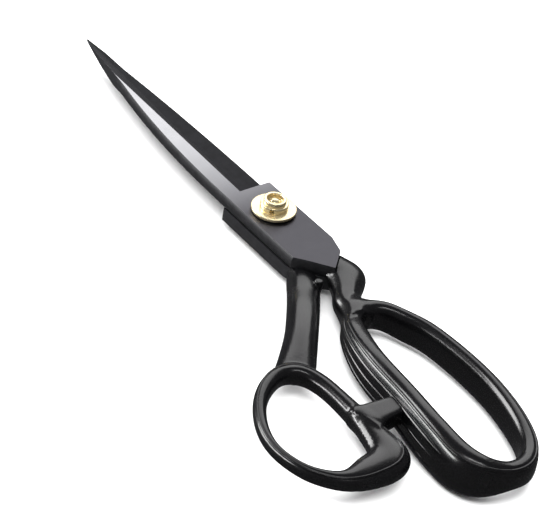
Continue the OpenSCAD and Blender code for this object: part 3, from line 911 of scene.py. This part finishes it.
class SHEARS_OT_pivot(bpy.types.Operator):
    """Turns the bolt, the two washers and the notched nut"""
    bl_idname = "shears.pivot"
    bl_label = "Pivot"

    def execute(self, context):
        sizes = context.scene.shears_pivot
        hole, tight = sizes.thread_radius * Q + BORE_FIT, sizes.bolt_radius * Q + BORE_FIT
        brass = [finish("brass")]
        low, high, r = WASHER[0].z * Q, WASHER[1].z * Q, WASHER[1].x * Q
        washer = lathe("brass_washer", rounded([((hole, low), 1), ((r, low), 1), ((r, high), 1),
                                                ((hole, high), 1)], sizes.washer_edge * Q), brass)
        # The spring washer is a real part, but its near-black rim under the brass washer is also painted
        # shade for the shade line there.
        low, high, r = SPRING[0].z * Q, SPRING[1].z * Q, SPRING[1].x * Q
        spring = lathe("spring_washer_disc", rounded([((tight, low), 1), ((r, low), 1), ((r, high), 1),
                                                      ((tight, high), 1)], 0.1), [finish("spring_steel")])
        low, high, r = NUT[0].z * Q, NUT[1].z * Q, NUT[1].x * Q
        step, upper = low + sizes.nut_low * Q, sizes.nut_top_radius * Q
        inner, floor = sizes.recess_radius * Q, high - sizes.recess_depth * Q
        nut = lathe("brass_wrench_nut",
                    rounded([((hole, low), 1), ((r, low), 1), ((r, step), 1), ((upper, step), 0),
                             ((upper, high), 1), ((inner, high), 1), ((inner, floor), 0),
                             ((hole, floor), 1)], sizes.nut_edge * Q), brass)
        cut(nut, wrench_notches(sizes, low))
        even_shading(nut, 35)
        thread, top = sizes.thread_radius * Q, BOLT[1].z * Q
        head, head_r, shank = HEAD_HEIGHT, BOLT[1].x * Q, sizes.bolt_radius * Q
        neck_top, ledge = MEET * Q - HALF_GAP * Q, WASHER[0].z * Q
        dome_r = thread * DOME_SHARE
        body = [((0.0, 0.0), 0), ((head_r, 0.0), 1), ((head_r, head), 1), ((shank, head), 0),
                ((shank, ledge), 1), ((thread, ledge), 0), ((thread, floor), 0),
                ((dome_r, floor + 0.2), 0)]
        dome = [((dome_r * math.cos(a), top - DOME_HEIGHT + DOME_HEIGHT * math.sin(a)), 0)
                for a in np.linspace(0, math.pi / 2, 9)]
        bolt = lathe("domed_pivot_bolt", rounded(body + dome, 0.3), brass)
        neck = square_bar("bolt_square_neck", sizes.neck_side * Q / 2, head, neck_top, brass)
        soften(neck, 0.0002, 2)
        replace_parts(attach(washer, "thumb_lever"), "pivot_washer")
        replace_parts(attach(spring, "thumb_lever"), "spring_washer")
        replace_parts(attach(nut, "tension_nut"), "pivot_nut")
        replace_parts(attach(bolt, "thumb_lever"), "pivot_bolt")
        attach(neck, "thumb_lever")
        return {"FINISHED"}


# ---------------------------------------------------------------- studio

CAMERA_AT = (538.47, -493.13, 526.19)   # millimetres from the pivot, over the meeting plane
CAMERA_TURN = (47.344, 36.458, 9.799)   # azimuth, elevation and roll, degrees
CAMERA_LENS = 190.75
SENSOR = 36.0

# Softboxes: name, direction of travel from the pivot, distance, width, height, watts
SOFTBOXES = (
    ("far_softbox", (-0.62, 0.55, 0.62), 1.1, 1.0, 0.6, 3.6),
    ("low_strip", (-0.45, -0.89, 0.12), 1.1, 0.8, 0.16, 7.0),
    ("side_strip", (-0.8, -0.55, 0.32), 1.0, 0.4, 0.7, 9.5),
    ("near_strip", (0.35, -0.5, 1.2), 1.2, 0.8, 0.12, 3.0),
)


OVERHEAD = ("overhead_softbox", (0.0, 0.0, 1.0), 1.6, 2.6, 2.6, 100.0)
AIR_TONE = (0.08, 0.08, 0.083, 1)
FLOOR_SPAN = 3000.0      # from the pivot to the floor's sides


def aimed(direction):
    """A turn that points a lamp at the pivot from that direction."""
    return Vector(direction).to_track_quat("Z", "Y").to_matrix().to_4x4()


class SHEARS_OT_stage(bpy.types.Operator):
    """Sets the floor, the lamps and the camera"""
    bl_idname = "shears.stage"
    bl_label = "Studio"

    def execute(self, context):
        scene = context.scene
        scene.view_settings.view_transform = "Standard"
        span, low = FLOOR_SPAN, FLOOR_Z * Q
        square = ((-span, -span), (span, -span), (span, span), (-span, span))
        floor = mesh_piece("studio_floor", [(x, y, low) for x, y in square], [(0, 1, 2, 3)],
                           [finish("floor")], smooth=False)
        floor.visible_glossy = False
        world = bpy.data.worlds.new("studio_air")
        world.use_nodes = True
        world.node_tree.nodes["Background"].inputs["Color"].default_value = AIR_TONE
        scene.world = world
        centre = Vector((0, 0, MEET))
        for box in SOFTBOXES:
            self.lamp(scene, centre, *box)
        self.lamp(scene, centre, *OVERHEAD).visible_glossy = False
        a, e, roll = (math.radians(v) for v in CAMERA_TURN)
        back = Vector((math.sin(a) * math.cos(e), -math.cos(a) * math.cos(e), math.sin(e)))
        right = Vector((math.cos(a), math.sin(a), 0.0))
        up = back.cross(right)
        turned = right * math.cos(roll) + up * math.sin(roll)
        up = up * math.cos(roll) - right * math.sin(roll)
        lens = bpy.data.cameras.new("camera")
        lens.sensor_fit, lens.sensor_width, lens.lens = "HORIZONTAL", SENSOR, CAMERA_LENS
        camera = bpy.data.objects.new("camera", lens)
        scene.collection.objects.link(camera)
        place = Vector(CAMERA_AT) * MM + centre
        camera.matrix_world = Matrix((
            (turned.x, up.x, back.x, place.x), (turned.y, up.y, back.y, place.y),
            (turned.z, up.z, back.z, place.z), (0, 0, 0, 1)))
        scene.camera = camera
        return {"FINISHED"}

    def lamp(self, scene, centre, name, direction, far, width, height, watts):
        light = bpy.data.lights.new(name, "AREA")
        light.shape, light.size, light.size_y, light.energy = "RECTANGLE", width, height, watts
        obj = bpy.data.objects.new(name, light)
        scene.collection.objects.link(obj)
        spot = centre + Vector(direction).normalized() * far
        obj.matrix_world = Matrix.Translation(spot) @ aimed(direction)
        return obj


# ---------------------------------------------------------------- panel and run

class SHEARS_PT_panel(bpy.types.Panel):
    """Lists the sizes, the colours and the pieces"""
    bl_label = "Fabric Shears"
    bl_idname = "SHEARS_PT_panel"
    bl_space_type = "VIEW_3D"
    bl_region_type = "UI"
    bl_category = "Shears"

    def draw(self, context):
        for group in ("shears_blades", "shears_handles", "shears_pivot", "shears_colours"):
            box = self.layout.box()
            values = getattr(context.scene, group)
            for name in values.__annotations__:
                box.prop(values, name)
        for step in STEPS:
            self.layout.operator(step.bl_idname)


STEPS = (SHEARS_OT_stage, SHEARS_OT_blades, SHEARS_OT_handles, SHEARS_OT_beads, SHEARS_OT_pivot)
GROUPS = {"shears_blades": ShearsBladeSizes, "shears_handles": ShearsHandleSizes,
          "shears_pivot": ShearsPivotSizes, "shears_colours": ShearsColours}
CLASSES = (*GROUPS.values(), *STEPS, SHEARS_PT_panel)


def register():
    for each in CLASSES:
        bpy.utils.register_class(each)
    for name, group in GROUPS.items():
        setattr(bpy.types.Scene, name, bpy.props.PointerProperty(type=group))


def unregister():
    for name in GROUPS:
        delattr(bpy.types.Scene, name)
    for each in reversed(CLASSES):
        bpy.utils.unregister_class(each)


def main():
    register()
    bpy.ops.shears.stage()
    bpy.ops.shears.blades()
    bpy.ops.shears.handles()
    bpy.ops.shears.beads()
    bpy.ops.shears.pivot()


if __name__ == "__main__":
    main()
